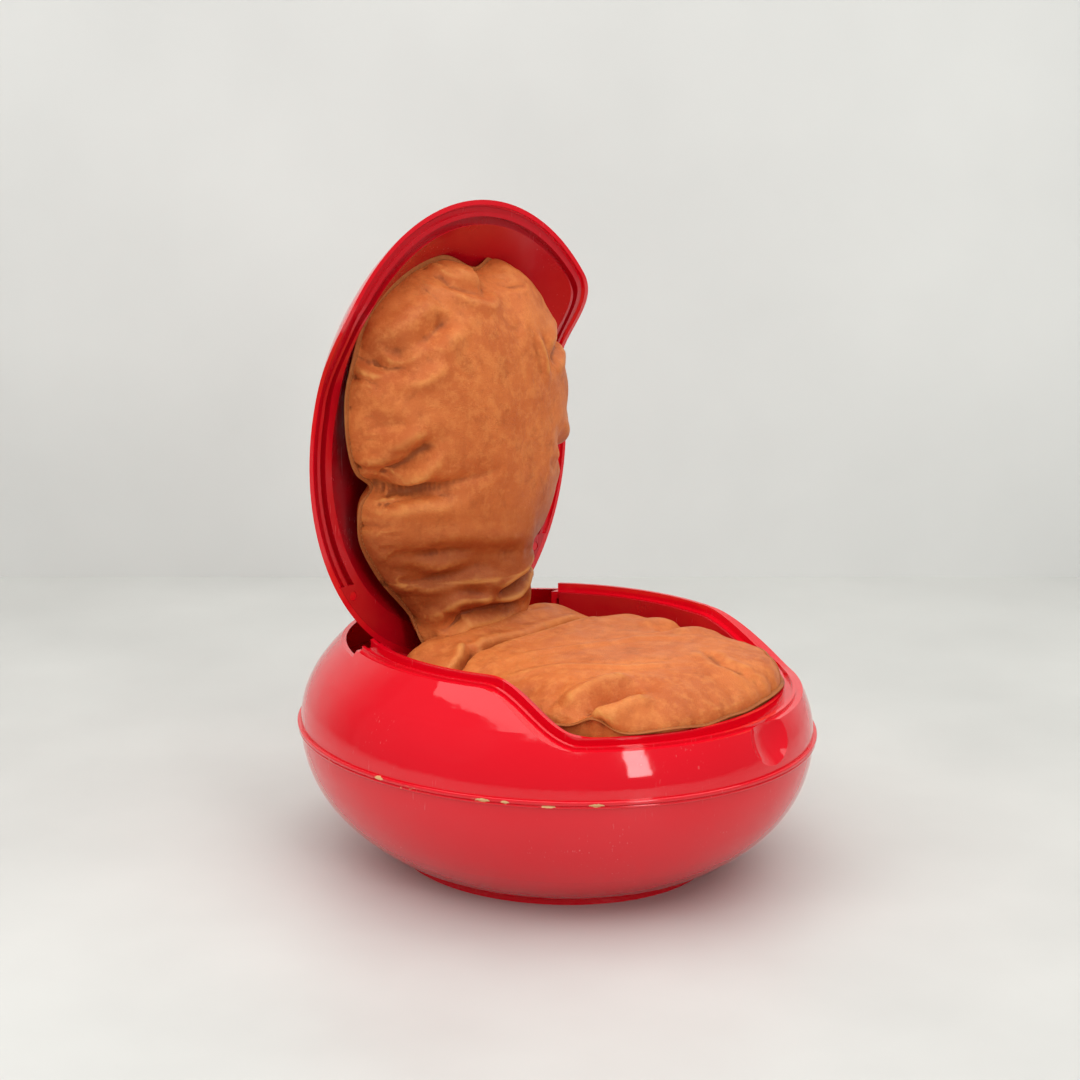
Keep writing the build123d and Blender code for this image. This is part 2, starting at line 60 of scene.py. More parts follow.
class Graph:
    """A material and short ways to add and join its nodes."""

    def __init__(self, name):
        self.material = bpy.data.materials.new(name)
        self.material.use_nodes = True
        self.tree = self.material.node_tree
        self.surface = self.tree.nodes["Principled BSDF"]
        self.place = self.add("ShaderNodeTexCoord").outputs["Object"]

    def add(self, kind, **settings):
        node = self.tree.nodes.new(kind)
        for key, value in settings.items():
            setattr(node, key, value)
        return node

    def put(self, socket, value):
        """Set a socket to a value, or join it to another node's output."""
        if isinstance(value, bpy.types.NodeSocket):
            self.tree.links.new(value, socket)
        else:
            socket.default_value = value

    def noise(self, scale, detail=3.0, roughness=0.5, distortion=0.0, place=None):
        """Cloudy values round 0.5, finer as the scale grows."""
        node = self.add("ShaderNodeTexNoise")
        self.put(node.inputs["Vector"], self.place if place is None else place)
        node.inputs["Scale"].default_value = scale
        node.inputs["Detail"].default_value = detail
        node.inputs["Roughness"].default_value = roughness
        node.inputs["Distortion"].default_value = distortion
        return node.outputs["Fac"]

    def cells(self, scale):
        """Distance to the middle of the nearest of many small cells."""
        node = self.add("ShaderNodeTexVoronoi")
        self.put(node.inputs["Vector"], self.place)
        node.inputs["Scale"].default_value = scale
        return node.outputs["Distance"]

    def stretch(self, scale, turn=(0.0, 0.0, 0.0)):
        """Turned and scaled place, for noise that runs in one direction."""
        node = self.add("ShaderNodeMapping")
        self.put(node.inputs["Vector"], self.place)
        node.inputs["Scale"].default_value = scale
        node.inputs["Rotation"].default_value = turn
        return node.outputs["Vector"]

    def math(self, operation, first, second=0.0):
        node = self.add("ShaderNodeMath", operation=operation)
        self.put(node.inputs[0], first)
        self.put(node.inputs[1], second)
        return node.outputs[0]

    def ramp(self, value, low, high, to_low=0.0, to_high=1.0):
        """Smooth step from to_low at low to to_high at high."""
        node = self.add("ShaderNodeMapRange", interpolation_type="SMOOTHSTEP")
        for socket, item in zip(node.inputs, (value, low, high, to_low, to_high)):
            self.put(socket, item)
        return node.outputs["Result"]

    def mix(self, share, first, second):
        """Colour between two, the second where share is 1."""
        node = self.add("ShaderNodeMix", data_type="RGBA")
        self.put(node.inputs["Factor"], share)
        self.put(node.inputs[6], first)
        self.put(node.inputs[7], second)
        return node.outputs[2]

    def bump(self, height, depth, below=None):
        """Shading normal for small relief, on top of the one below."""
        node = self.add("ShaderNodeBump")
        self.put(node.inputs["Height"], height)
        node.inputs["Distance"].default_value = depth
        if below is not None:
            self.put(node.inputs["Normal"], below)
        return node.outputs["Normal"]

    def height(self):
        """Height above the floor."""
        split = self.add("ShaderNodeSeparateXYZ")
        self.put(split.inputs[0], self.place)
        return split.outputs["Z"]

    def near(self, point, radii):
        """Distance from a point in units of the three radii."""
        shift = self.add("ShaderNodeVectorMath", operation="SUBTRACT")
        self.put(shift.inputs[0], self.place)
        shift.inputs[1].default_value = point
        squeeze = self.add("ShaderNodeVectorMath", operation="DIVIDE")
        self.put(squeeze.inputs[0], shift.outputs[0])
        squeeze.inputs[1].default_value = radii
        length = self.add("ShaderNodeVectorMath", operation="LENGTH")
        self.put(length.inputs[0], squeeze.outputs[0])
        return length.outputs["Value"]


def rgb(red, green, blue):
    """Linear colour from screen values up to 255."""
    def linear(value):
        value = value / 255
        return value / 12.92 if value <= 0.04045 else ((value + 0.055) / 1.055) ** 2.4

    return (linear(red), linear(green), linear(blue), 1.0)


def shaded(red, green, blue, shade):
    """The same colour, darker if shade is under 1."""
    return rgb(red * shade, green * shade, blue * shade)


def knocked_off(g, chips, seam_band):
    """Where the paint is gone: ragged spots, and flakes along a band (height, half width), or None."""
    ragged = g.math("MULTIPLY", g.noise(260.0, detail=4.0), 1.1)
    chip = None
    for point, radii in chips:
        spot = g.ramp(g.math("ADD", g.near(point, radii), ragged), 1.35, 1.5, 1.0, 0.0)
        chip = spot if chip is None else g.math("MAXIMUM", chip, spot)
    if seam_band:
        middle, half_width = seam_band
        level = g.math("ABSOLUTE", g.math("SUBTRACT", g.height(), middle))
        band = g.ramp(level, half_width * 0.5, half_width, 1.0, 0.0)
        patchy = g.ramp(g.noise(9.0, detail=2.0), 0.54, 0.64)
        flakes = g.ramp(g.noise(150.0, detail=3.0, place=g.stretch((1.0, 1.0, 2.5))), 0.60, 0.63)
        worn = g.math("MULTIPLY", g.math("MULTIPLY", band, patchy), flakes)
        chip = worn if chip is None else g.math("MAXIMUM", chip, worn)
    return chip


def red_lacquer(name, chips, seam_band=None, shade=1.0, coat=0.15, dull=0.0):
    """Glossy red paint with faint clouding and scratches, and cream chips where it is knocked off."""
    g = Graph(name)
    cloud = g.noise(4.0, detail=2.0)
    paint = g.mix(cloud, shaded(220, 5, 26, shade), shaded(228, 9, 34, shade))
    chip = knocked_off(g, chips, seam_band)
    fine = g.stretch((1.0, 1.0, 0.06), (0.5, 0.7, 0.2))
    scratch = g.ramp(g.noise(420.0, detail=1.0, place=fine), 0.70, 0.74)
    scratch = g.math("MULTIPLY", scratch, g.ramp(g.noise(11.0), 0.50, 0.62))
    paint = g.mix(g.math("MULTIPLY", scratch, 0.30), paint, rgb(232, 120, 120))
    bare = g.mix(g.noise(90.0), rgb(214, 150, 92), rgb(240, 205, 150))
    g.put(g.surface.inputs["Base Color"], g.mix(chip, paint, bare) if chip else paint)
    haze = g.ramp(g.noise(16.0, detail=5.0), 0.35, 0.75, 0.06 + dull, 0.12 + dull)
    rough = g.math("ADD", haze, g.math("MULTIPLY", scratch, 0.18))
    if chip:
        rough = g.math("MAXIMUM", rough, g.math("MULTIPLY", chip, 0.6))
        flat = g.math("SUBTRACT", 1.0, chip)
        g.put(g.surface.inputs["Coat Weight"], g.math("MULTIPLY", flat, coat))
    else:
        g.surface.inputs["Coat Weight"].default_value = coat
    g.put(g.surface.inputs["Roughness"], rough)
    g.surface.inputs["Coat Roughness"].default_value = 0.02
    g.surface.inputs["IOR"].default_value = 1.5
    skin = g.bump(g.noise(38.0, detail=1.5), 0.0004)
    if chip:
        skin = g.bump(chip, -0.0004, below=skin)
    g.put(g.surface.inputs["Normal"], skin)
    return g.material


def tan_leather(name, shade=1.0, rubbed_and_highlight=0.45):
    """Soft worn leather: cloudy tan, with painted shade in the folds and low on the back, and lighter ridges
    that are painted highlight, partly rubbed wear.
    """
    g = Graph(name)
    cloud = g.ramp(g.noise(6.0, detail=5.0, roughness=0.6, distortion=0.6), 0.25, 0.75)
    tone = g.mix(cloud, shaded(188, 94, 44, shade), shaded(214, 120, 60, shade))
    patina = g.ramp(g.noise(24.0, detail=7.0, roughness=0.68, distortion=0.4), 0.50, 0.70, 0.0, 0.42)
    tone = g.mix(patina, tone, shaded(150, 70, 27, shade))
    mottle = g.ramp(g.noise(52.0, detail=7.0, roughness=0.72), 0.44, 0.64)
    tone = g.mix(g.math("MULTIPLY", mottle, 0.40), tone, shaded(228, 142, 76, shade))
    scuffs = g.noise(70.0, detail=4.0, place=g.stretch((1.0, 1.0, 0.18), (0.3, 0.5, 0.0)))
    tone = g.mix(g.math("MULTIPLY", g.ramp(scuffs, 0.58, 0.74), 0.18), tone, rgb(160, 78, 34))
    shape = g.add("ShaderNodeNewGeometry")
    # painted shade: darker brown in concave hollows and folds, where shade falls
    painted_crease_shade = g.ramp(shape.outputs["Pointiness"], 0.470, 0.497, 0.65, 0.0)
    tone = g.mix(painted_crease_shade, tone, rgb(112, 52, 22))
    # painted shade: the leather turns dark brown low on the back cushion, just above the seat
    height = g.height()
    above_seat = g.ramp(height, 0.345, 0.40)
    painted_shade_low_on_back = g.ramp(height, 0.42, 0.62, 0.6, 0.0)
    tone = g.mix(g.math("MULTIPLY", above_seat, painted_shade_low_on_back), tone, rgb(120, 46, 15))
    # lighter on convex ridges: painted highlight, partly rubbed wear
    ridge_highlight_and_wear = g.ramp(shape.outputs["Pointiness"], 0.504, 0.535, 0.0, rubbed_and_highlight)
    tone = g.mix(ridge_highlight_and_wear, tone, rgb(232, 164, 88))
    g.put(g.surface.inputs["Base Color"], tone)
    g.put(g.surface.inputs["Roughness"], g.ramp(g.noise(30.0, detail=4.0), 0.3, 0.7, 0.44, 0.60))
    g.surface.inputs["Specular IOR Level"].default_value = 0.2
    grain = g.bump(g.cells(520.0), 0.0005)
    creases = g.bump(g.noise(60.0, detail=5.0, roughness=0.6, distortion=1.0), 0.0012, below=grain)
    g.put(g.surface.inputs["Normal"], creases)
    return g.material


def plain(name, colour, roughness, metallic=0.0, scale=80.0):
    """A finish with a little unevenness in tone and gloss."""
    g = Graph(name)
    tone = g.noise(scale, detail=4.0)
    dark = tuple(0.75 * part for part in colour[:3]) + (1.0,)
    g.put(g.surface.inputs["Base Color"], g.mix(tone, dark, colour))
    g.put(g.surface.inputs["Roughness"], g.ramp(tone, 0.3, 0.7, roughness - 0.06, roughness + 0.06))
    g.surface.inputs["Metallic"].default_value = metallic
    return g.material


seam_height = 0.2105
bowl_chips = [
    ((-0.383, 0.018, 0.214), (0.010, 0.010, 0.003)),
    ((-0.356, -0.156, 0.212), (0.008, 0.012, 0.003)),
    ((-0.344, -0.187, 0.212), (0.006, 0.008, 0.003)),
    ((-0.273, -0.295, 0.212), (0.013, 0.012, 0.003)),
    ((-0.314, -0.241, 0.209), (0.012, 0.012, 0.002)),
]
lid_chips = [
    ((-0.224, 0.215, 0.874), (0.007, 0.007, 0.014)),
    ((-0.254, 0.216, 0.836), (0.006, 0.006, 0.009)),
    ((0.004, 0.150, 0.990), (0.012, 0.007, 0.004)),
    ((0.012, 0.150, 0.978), (0.004, 0.006, 0.008)),
]
lacquer = red_lacquer("red lacquer", bowl_chips, (seam_height, 0.004))
lid_lacquer = red_lacquer("red lacquer of the lid", lid_chips)
# painted shade: a darker copy of the red lacquer, with duller gloss, for the inside of the lid and the seat
# basin
inner_lacquer_painted_shade = red_lacquer("red lacquer inside with painted shade", [], shade=0.86, coat=0.04, dull=0.16)
leather = tan_leather("tan leather")
gusset = tan_leather("darker leather", 0.82, rubbed_and_highlight=0.05)
thread = plain("stitching thread", rgb(186, 116, 62), 0.7)
steel = plain("brushed steel", rgb(186, 186, 188), 0.34, metallic=1.0)
rubber = plain("black rubber", rgb(34, 30, 30), 0.6)
cloth = plain("panel cloth", rgb(120, 72, 40), 0.85, scale=300.0)

finishes = {
    "red_lacquer": lacquer,
    "tan_leather": leather,
    "foam": cloth,
    "panel_cloth": cloth,
    "steel": steel,
    "black_rubber": rubber,
}
lid_names = frame["record"]["behaviour"]["bodies"]["lid"]
for part in frame["record"]["subparts"]:
    name = part["node"]
    slot = part["material_slot"]
    finish = finishes[slot]
    if slot == "red_lacquer" and name in lid_names:
        finish = lid_lacquer
    # painted shade: the lid liner and the seat basin get the darkened lacquer
    if name in ("lid_liner", "seat_basin"):
        finish = inner_lacquer_painted_shade
    nodes[name].data.materials.clear()
    nodes[name].data.materials.append(finish)


def smooth(share):
    """Eased step from 0 to 1."""
    return share * share * (3 - 2 * share)


def mesh_object(name, points, faces, material):
    """New smooth-shaded object from points and faces."""
    mesh = bpy.data.meshes.new(name)
    mesh.from_pydata([tuple(point) for point in points], [], faces)
    mesh.update()
    thing = bpy.data.objects.new(name, mesh)
    scene.collection.objects.link(thing)
    mesh.materials.append(material)
    mesh.shade_smooth()
    return thing


def points_of(thing):
    """Mesh points as rows."""
    values = np.zeros(len(thing.data.vertices) * 3)
    thing.data.vertices.foreach_get("co", values)
    return values.reshape(-1, 3)


def normals_of(thing):
    """Normals of the mesh points as rows."""
    values = np.zeros(len(thing.data.vertices) * 3)
    thing.data.vertex_normals.foreach_get("vector", values)
    return values.reshape(-1, 3)


def set_points(thing, points):
    """Move the mesh points."""
    thing.data.vertices.foreach_set("co", points.ravel())
    thing.data.update()


def apply_modifiers(thing):
    """Replace the mesh by the one that its modifiers make."""
    bpy.context.view_layer.update()
    made = thing.evaluated_get(bpy.context.evaluated_depsgraph_get())
    mesh = bpy.data.meshes.new_from_object(made)
    thing.modifiers.clear()
    thing.data = mesh
    thing.data.shade_smooth()


class Outline:
    """Closed seam line through given points, as a radius for each angle round a middle."""

    def __init__(self, points, middle, steps=720):
        self.middle = np.array(middle)
        around = []
        count = len(points)
        for index in range(count):
            four = [np.array(points[(index + shift) % count]) for shift in (-1, 0, 1, 2)]
            for part in np.linspace(0, 1, 24, endpoint=False):
                around.append(self.between(four, part))
        arms = np.array(around) - self.middle
        angles = np.arctan2(arms[:, 1], arms[:, 0])
        self.grid = np.linspace(0, 2 * math.pi, steps, endpoint=False)
        self.radii = np.interp(self.grid, angles, np.hypot(arms[:, 0], arms[:, 1]), period=2 * math.pi)

    @staticmethod
    def between(four, part):
        """Point on a smooth curve between the middle two of four points."""
        first, second, third, fourth = four
        return second + 0.5 * part * (
            third - first + part * (2 * first - 5 * second + 4 * third - fourth
                                    + part * (3 * (second - third) + fourth - first)))

    def radius(self, angles):
        """Distance from the middle to the seam."""
        return np.interp(angles, self.grid, self.radii, period=2 * math.pi)

    def share(self, flat):
        """Angle round the middle and share of the way out to the seam, for points in the plane."""
        arms = flat - self.middle
        angles = np.arctan2(arms[:, 1], arms[:, 0])
        return angles, np.hypot(arms[:, 0], arms[:, 1]) / self.radius(angles)

    def at(self, angles, share=1.0):
        """Points in the plane at a share of the way out to the seam."""
        reach = self.radius(angles) * share
        return self.middle + np.stack([reach * np.cos(angles), reach * np.sin(angles)], axis=-1)


def pillow_faces(spokes, rings, seam_start):
    """Faces of both sides of a pillow: a fan in the middle, then rings out to the seam they share."""
    faces = []
    per_side = 1 + spokes * (rings - 1)
    for side in (0, 1):
        base = side * per_side
        rows = [[base + 1 + ring * spokes + spoke for spoke in range(spokes)] for ring in range(rings - 1)]
        rows.append([seam_start + spoke for spoke in range(spokes)])
        for spoke in range(spokes):
            after = (spoke + 1) % spokes
            corner = [base, rows[0][spoke], rows[0][after]]
            faces.append(corner if side == 0 else corner[::-1])
            for inner, outer in pairwise(rows):
                quad = [inner[spoke], outer[spoke], outer[after], inner[after]]
                faces.append(quad if side == 0 else quad[::-1])
    return faces


def pillow(name, outline, face, rear, lift, material, spokes=160, rings=26):
    """Closed cushion from a seam outline, with heights for its face and rear sides."""
    angles = np.linspace(0, 2 * math.pi, spokes, endpoint=False)
    shares = np.sin(np.linspace(0, math.pi / 2, rings + 1))[1:]
    points = []
    for side in (face, rear):
        flat = outline.at(np.zeros(1), 0.0)
        points.append(lift(flat, side(flat, np.zeros(1)))[0])
        for share in shares[:-1]:
            flat = outline.at(angles, share)
            points.extend(lift(flat, side(flat, np.full(spokes, share))))
    flat = outline.at(angles)
    seam_start = len(points)
    points.extend(lift(flat, np.zeros(spokes)))
    thing = mesh_object(name, points, pillow_faces(spokes, rings, seam_start), material)
    work = bmesh.new()
    work.from_mesh(thing.data)
    bmesh.ops.recalc_face_normals(work, faces=work.faces)
    work.to_mesh(thing.data)
    work.free()
    return thing


cloth_frames = 20


def swell(thing, held, slack, pressure):
    """Run a cushion as cloth with spare material under pressure, fixed where held() says."""
    group = thing.vertex_groups.new(name="held")
    chosen = np.flatnonzero(held(points_of(thing)))
    group.add([int(index) for index in chosen], 1.0, "REPLACE")
    sim = thing.modifiers.new("leather", "CLOTH")
    sim.settings.vertex_group_mass = "held"
    sim.settings.use_pressure = True
    sim.settings.uniform_pressure_force = pressure
    sim.settings.shrink_min = -slack
    sim.settings.effector_weights.gravity = 0.0
    sim.settings.quality = 6
    sim.settings.mass = 0.4
    sim.settings.tension_stiffness = 18.0
    sim.settings.compression_stiffness = 18.0
    sim.settings.shear_stiffness = 6.0
    sim.settings.bending_stiffness = 4.0
    sim.settings.air_damping = 2.0
    for step in range(1, cloth_frames + 1):
        scene.frame_set(step)
    apply_modifiers(thing)
    scene.frame_set(1)


def inflate(thing, held, slack, cap, pressure=4.0, voxel=0.005):
    """Even out a cushion's mesh and swell it, with no point moved further than cap."""
    material = thing.data.materials[0]
    remesh = thing.modifiers.new("even mesh", "REMESH")
    remesh.mode = "VOXEL"
    remesh.voxel_size = voxel
    apply_modifiers(thing)
    before = points_of(thing)
    swell(thing, held, slack, pressure)
    moved = points_of(thing) - before
    far = np.linalg.norm(moved, axis=1, keepdims=True)
    moved *= np.minimum(1.0, cap / np.maximum(far, 1e-9))
    set_points(thing, before + moved)
    thing.vertex_groups.clear()
    thing.data.materials.clear()
    thing.data.materials.append(material)
    thing.data.shade_smooth()


def crease(points, normals, flat, facing, line, depth, width):
    """Press a fold along a line in the cushion's plan, with a low roll on each side."""
    nearest = np.full(len(points), 1e9)
    along = np.zeros(len(points))
    line = np.array(line)
    for index, (start, end) in enumerate(pairwise(line)):
        span = end - start
        part = np.clip((flat - start) @ span / (span @ span), 0, 1)
        gap = np.linalg.norm(flat - (start + part[:, None] * span), axis=1)
        closer = gap < nearest
        nearest = np.where(closer, gap, nearest)
        along = np.where(closer, (index + part) / (len(line) - 1), along)
    fade = np.clip(np.sin(math.pi * np.clip(along, 0.04, 0.96)) * 1.8, 0, 1)
    press = np.exp(-((nearest / width) ** 2)) - 0.5 * np.exp(-(((nearest - 2.0 * width) / width) ** 2))
    press *= np.clip(facing * 3, 0, 1) * fade
    return points - normals * (depth * press)[:, None]


def puckers(points, normals, angles, shares, outline, count, depth, reach, seed):
    """Small gathers that run in from the seam, uneven in size and spacing."""
    pull = np.zeros(len(points))
    draw = np.random.default_rng(seed)
    for middle in np.sort(draw.uniform(0, 2 * math.pi, count)):
        size = draw.uniform(0.35, 1.0)
        wide = draw.uniform(0.020, 0.042)
        length = reach * draw.uniform(0.5, 1.3)
        turned = np.mod(angles - middle + math.pi, 2 * math.pi) - math.pi
        inside = np.clip(1.0 - shares, 0, None) * outline.radius(angles)
        spread = wide * (1.0 + inside / length)
        pull += size * np.exp(-((turned / spread) ** 2)) * np.exp(-inside / length)
    return points - normals * (depth * pull)[:, None]


lip_sides = 8
lip_thickness = 0.0030
thread_sides = 6
stitch_rise = 0.0016
stitch_pitch = 0.0075
stitch_length = 0.005
stitch_radius = 0.0005
gather_reach = 0.030
fold_strength = 1.3


def sewn_edge(name, spine, out, away, thick, material, closed=True):
    """Flat sewn lip along a line of points, with its width along out and its thickness along away."""
    ring = np.linspace(0, 2 * math.pi, lip_sides, endpoint=False)
    points = [spine + out * math.cos(turn) + away * (thick / 2 * math.sin(turn)) for turn in ring]
    points = np.stack(points, axis=1).reshape(-1, 3)
    steps = len(spine)
    faces = []
    for step in range(steps if closed else steps - 1):
        after = (step + 1) % steps
        here = step * lip_sides
        there = after * lip_sides
        for side in range(lip_sides):
            near = (side + 1) % lip_sides
            faces.append((here + side, there + side, there + near, here + near))
    if not closed:
        last = (steps - 1) * lip_sides
        faces.append(tuple(range(lip_sides))[::-1])
        faces.append(tuple(last + side for side in range(lip_sides)))
    return mesh_object(name, points, faces, material)


def rim_lip(name, outline, lift, wave, width, thick, material, steps=560):
    """Sewn lip that stands out all round a cushion's seam."""
    angles = np.linspace(0, 2 * math.pi, steps, endpoint=False)
    flat = outline.at(angles)
    spine = lift(flat, wave(angles))
    arms = outline.at(angles, 1.0 + width / outline.radius(angles))
    out = lift(arms, wave(angles)) - spine
    away = lift(flat, wave(angles) + 1.0) - spine
    return sewn_edge(name, spine, out, away, thick, material)


def surface_seam(name, cushion, guide, width, thick, material):
    """Raised seam laid on a cushion's skin along guide points."""
    spine = []
    away = []
    for point in guide:
        place, normal = cushion.closest_point_on_mesh(Vector(point))[1:3]
        spine.append(place)
        away.append(normal)
    spine = np.array(spine)
    away = np.array(away)
    along = np.gradient(spine, axis=0)
    out = np.cross(along, away)
    out *= width / np.maximum(np.linalg.norm(out, axis=1, keepdims=True), 1e-9)
    return sewn_edge(name, spine, out, away, thick, material, closed=False)


def stitches(name, outline, lift, wave, material):
    """Short raised threads along the seam."""
    total = np.linspace(0, 2 * math.pi, 2000)
    path = outline.at(total)
    run = np.concatenate([[0.0], np.cumsum(np.linalg.norm(np.diff(path, axis=0), axis=1))])
    count = int(run[-1] / stitch_pitch)
    points = []
    faces = []
    for index in range(count):
        start = index * stitch_pitch
        ends = np.interp([start, start + stitch_length], run, total)
        flat = outline.at(ends)
        spine = lift(flat, wave(ends) + stitch_rise)
        side = spine[1] - spine[0]
        side = side / np.linalg.norm(side)
        normal = lift(flat[:1], wave(ends[:1]) + stitch_rise + 1.0)[0] - spine[0]
        normal = normal / np.linalg.norm(normal)
        across = np.cross(side, normal)
        first = len(points)
        for centre in spine:
            for turn in np.linspace(0, 2 * math.pi, thread_sides, endpoint=False):
                points.append(centre + stitch_radius * (math.cos(turn) * across + math.sin(turn) * normal))
        second = first + thread_sides
        for turn in range(thread_sides):
            after = (turn + 1) % thread_sides
            faces.append((first + turn, first + after, second + after, second + turn))
        faces.append(tuple(first + turn for turn in range(thread_sides))[::-1])
        faces.append(tuple(second + turn for turn in range(thread_sides)))
    return mesh_object(name, points, faces, material)


def join(main, others):
    """One object from several, under the first one's name."""
    with bpy.context.temp_override(
        active_object=main, selected_editable_objects=[main] + others, selected_objects=[main] + others
    ):
        bpy.ops.object.join()
    return main


def ripple(height, seed):
    """Gentle rise and fall of a seam line, the same on every run."""
    draw = np.random.default_rng(seed)
    parts = [(count, draw.uniform(0.3, 1.0) / count ** 0.5, draw.uniform(0, 6.28)) for count in range(3, 24)]

    def wave(angles):
        return height * sum(size * np.sin(count * angles + start) for count, size, start in parts)

    return wave


back_seam = [
    (-0.098, 0.320), (-0.128, 0.384), (-0.178, 0.448), (-0.217, 0.516), (-0.216, 0.566),
    (-0.190, 0.590), (-0.219, 0.614), (-0.234, 0.644), (-0.241, 0.694), (-0.233, 0.758), (-0.190, 0.852),
    (-0.108, 0.904), (-0.022, 0.924), (0.048, 0.900), (0.104, 0.916), (0.176, 0.866),
    (0.224, 0.772), (0.240, 0.690), (0.226, 0.612), (0.210, 0.585), (0.206, 0.530),
    (0.172, 0.462), (0.120, 0.396), (0.092, 0.326),
]
back_outline = Outline(back_seam, (0.0, 0.615))
back_seam_y = 0.205
back_depth = 0.134
back_start = 0.90
back_bulge = 0.050
back_held_behind = 0.006
back_held_share = 0.975
back_slack = 0.022
back_cap = 0.024
back_gathers = 22
back_gather_depth = 0.008
back_gather_seed = 5
back_lip = 0.007
back_ripple = 0.0016
back_ripple_seed = 11
neck_top = 0.47
neck_length = 0.16
neck_forward = 0.052


def back_lift(flat, height):
    """Point of the back cushion from its plan and its height towards the sitter."""
    low = np.clip((neck_top - flat[:, 1]) / neck_length, 0, 1)
    seam = back_seam_y - neck_forward * low ** 2
    return np.stack([flat[:, 0], seam - height, flat[:, 1]], axis=-1)


def back_face(flat, share):
    """Height of the side towards the sitter, before it is inflated."""
    return back_start * back_depth * (1 - share ** 2.5) ** 0.55


def back_rear(flat, share):
    """Height of the side towards the lid."""
    return -back_bulge * (1 - share ** 3) ** 0.6


def back_held(points):
    """Where the cloth is held: behind the seam and at its edge."""
    share = back_outline.share(points[:, [0, 2]])[1]
    behind = points[:, 1] > back_seam_y + back_held_behind
    return behind | (share > back_held_share)


back_folds = [
    ([(-0.085, 0.856), (-0.130, 0.831), (-0.174, 0.808), (-0.205, 0.796)], 0.011, 0.013),
    ([(-0.225, 0.796), (-0.203, 0.776), (-0.171, 0.781), (-0.128, 0.804)], 0.009, 0.012),
    ([(-0.208, 0.589), (-0.204, 0.617), (-0.180, 0.648), (-0.150, 0.668)], 0.013, 0.014),
    ([(-0.219, 0.560), (-0.197, 0.582), (-0.160, 0.588), (-0.110, 0.580)], 0.008, 0.013),
    ([(-0.175, 0.481), (-0.115, 0.486), (-0.054, 0.474), (0.030, 0.467)], 0.009, 0.015),
    ([(-0.188, 0.463), (-0.125, 0.446), (-0.070, 0.456), (0.000, 0.440)], 0.007, 0.011),
    ([(-0.040, 0.402), (0.010, 0.416), (0.060, 0.432), (0.110, 0.440)], 0.013, 0.008),
    ([(-0.118, 0.346), (-0.085, 0.383), (-0.026, 0.382), (0.060, 0.374)], 0.013, 0.010),
    ([(-0.085, 0.904), (-0.045, 0.889), (-0.005, 0.878), (0.040, 0.890)], 0.008, 0.011),
    ([(0.078, 0.806), (0.087, 0.772), (0.089, 0.735)], -0.004, 0.008),
    ([(0.205, 0.800), (0.150, 0.775), (0.110, 0.760)], 0.008, 0.012),
    ([(0.214, 0.585), (0.170, 0.600), (0.120, 0.640)], 0.010, 0.014),
]


def finish_cushion(cushion, axis, outline, folds, gathers, pull, seed):
    """Gathers at the seam, larger folds and one subdivision. The face looks along +Z (2) or -Y (-1)."""
    points = points_of(cushion)
    normals = normals_of(cushion)
    plan = [index for index in (0, 1, 2) if index != abs(axis)]
    flat = points[:, plan]
    facing = normals[:, abs(axis)] * (1 if axis == 2 else -1)
    angles, shares = outline.share(flat)
    shares = np.where(facing < -0.2, 0.0, shares)
    points = puckers(points, normals, angles, shares, outline, gathers, pull, gather_reach, seed)
    for line, depth, width in folds:
        points = crease(points, normals, flat, facing, line, fold_strength * depth, width)
    set_points(cushion, points)
    finer = cushion.modifiers.new("finer", "SUBSURF")
    finer.levels = 1
    finer.render_levels = 1
    apply_modifiers(cushion)


neck_level = 0.435
neck_overlap = 0.006
neck_tuck = 0.0025
neck_rear = 0.160
neck_notch = 0.085
neck_notch_ramp = 0.025


def one_side(thing, name, above, tuck):
    """Closed copy of what lies above or below the neck's level, tucked in where it passes that level."""
    twin = thing.copy()
    twin.data = thing.data.copy()
    twin.name = name
    scene.collection.objects.link(twin)
    sign = 1 if above else -1
    points = points_of(twin)
    past = np.clip((neck_level - points[:, 2]) * sign / neck_overlap, 0, 1)
    points = points - normals_of(twin) * (tuck * past)[:, None]
    if not above:
        notch = neck_rear + np.clip((np.abs(points[:, 0]) - neck_notch) / neck_notch_ramp, 0, 1)
        points[:, 1] = np.minimum(points[:, 1], notch)
    set_points(twin, points)
    work = bmesh.new()
    work.from_mesh(twin.data)
    everything = work.verts[:] + work.edges[:] + work.faces[:]
    level = (0.0, 0.0, neck_level - sign * neck_overlap)
    bmesh.ops.bisect_plane(
        work, geom=everything, plane_co=level, plane_no=(0.0, 0.0, -sign), clear_outer=True)
    border = [edge for edge in work.edges if edge.is_boundary]
    caps = bmesh.ops.holes_fill(work, edges=border, sides=0)["faces"]
    bmesh.ops.triangulate(work, faces=caps)
    for edge in border:
        edge.smooth = False
    work.to_mesh(twin.data)
    work.free()
    return twin


def make_back_cushion():
    """Back cushion, and its neck below the hinge, which stays with the seat when the lid closes."""
    cushion = pillow("back_cushion_whole", back_outline, back_face, back_rear, back_lift, leather)
    inflate(cushion, back_held, back_slack, back_cap)
    finish_cushion(
        cushion, -1, back_outline, back_folds, back_gathers, back_gather_depth, back_gather_seed)
    wave = ripple(back_ripple, back_ripple_seed)
    edge = rim_lip("back_cushion_edge", back_outline, back_lift, wave, back_lip, lip_thickness, gusset)
    sewing = stitches("back_cushion_stitches", back_outline, back_lift, wave, thread)
    halves = []
    for above in (True, False):
        name = "back_cushion" if above else "back_cushion_neck"
        skin = one_side(cushion, name, above, neck_tuck)
        halves.append(join(skin, [one_side(piece, name, above, 0.0) for piece in (edge, sewing)]))
    for piece in (cushion, edge, sewing):
        bpy.data.objects.remove(piece)
    return halves


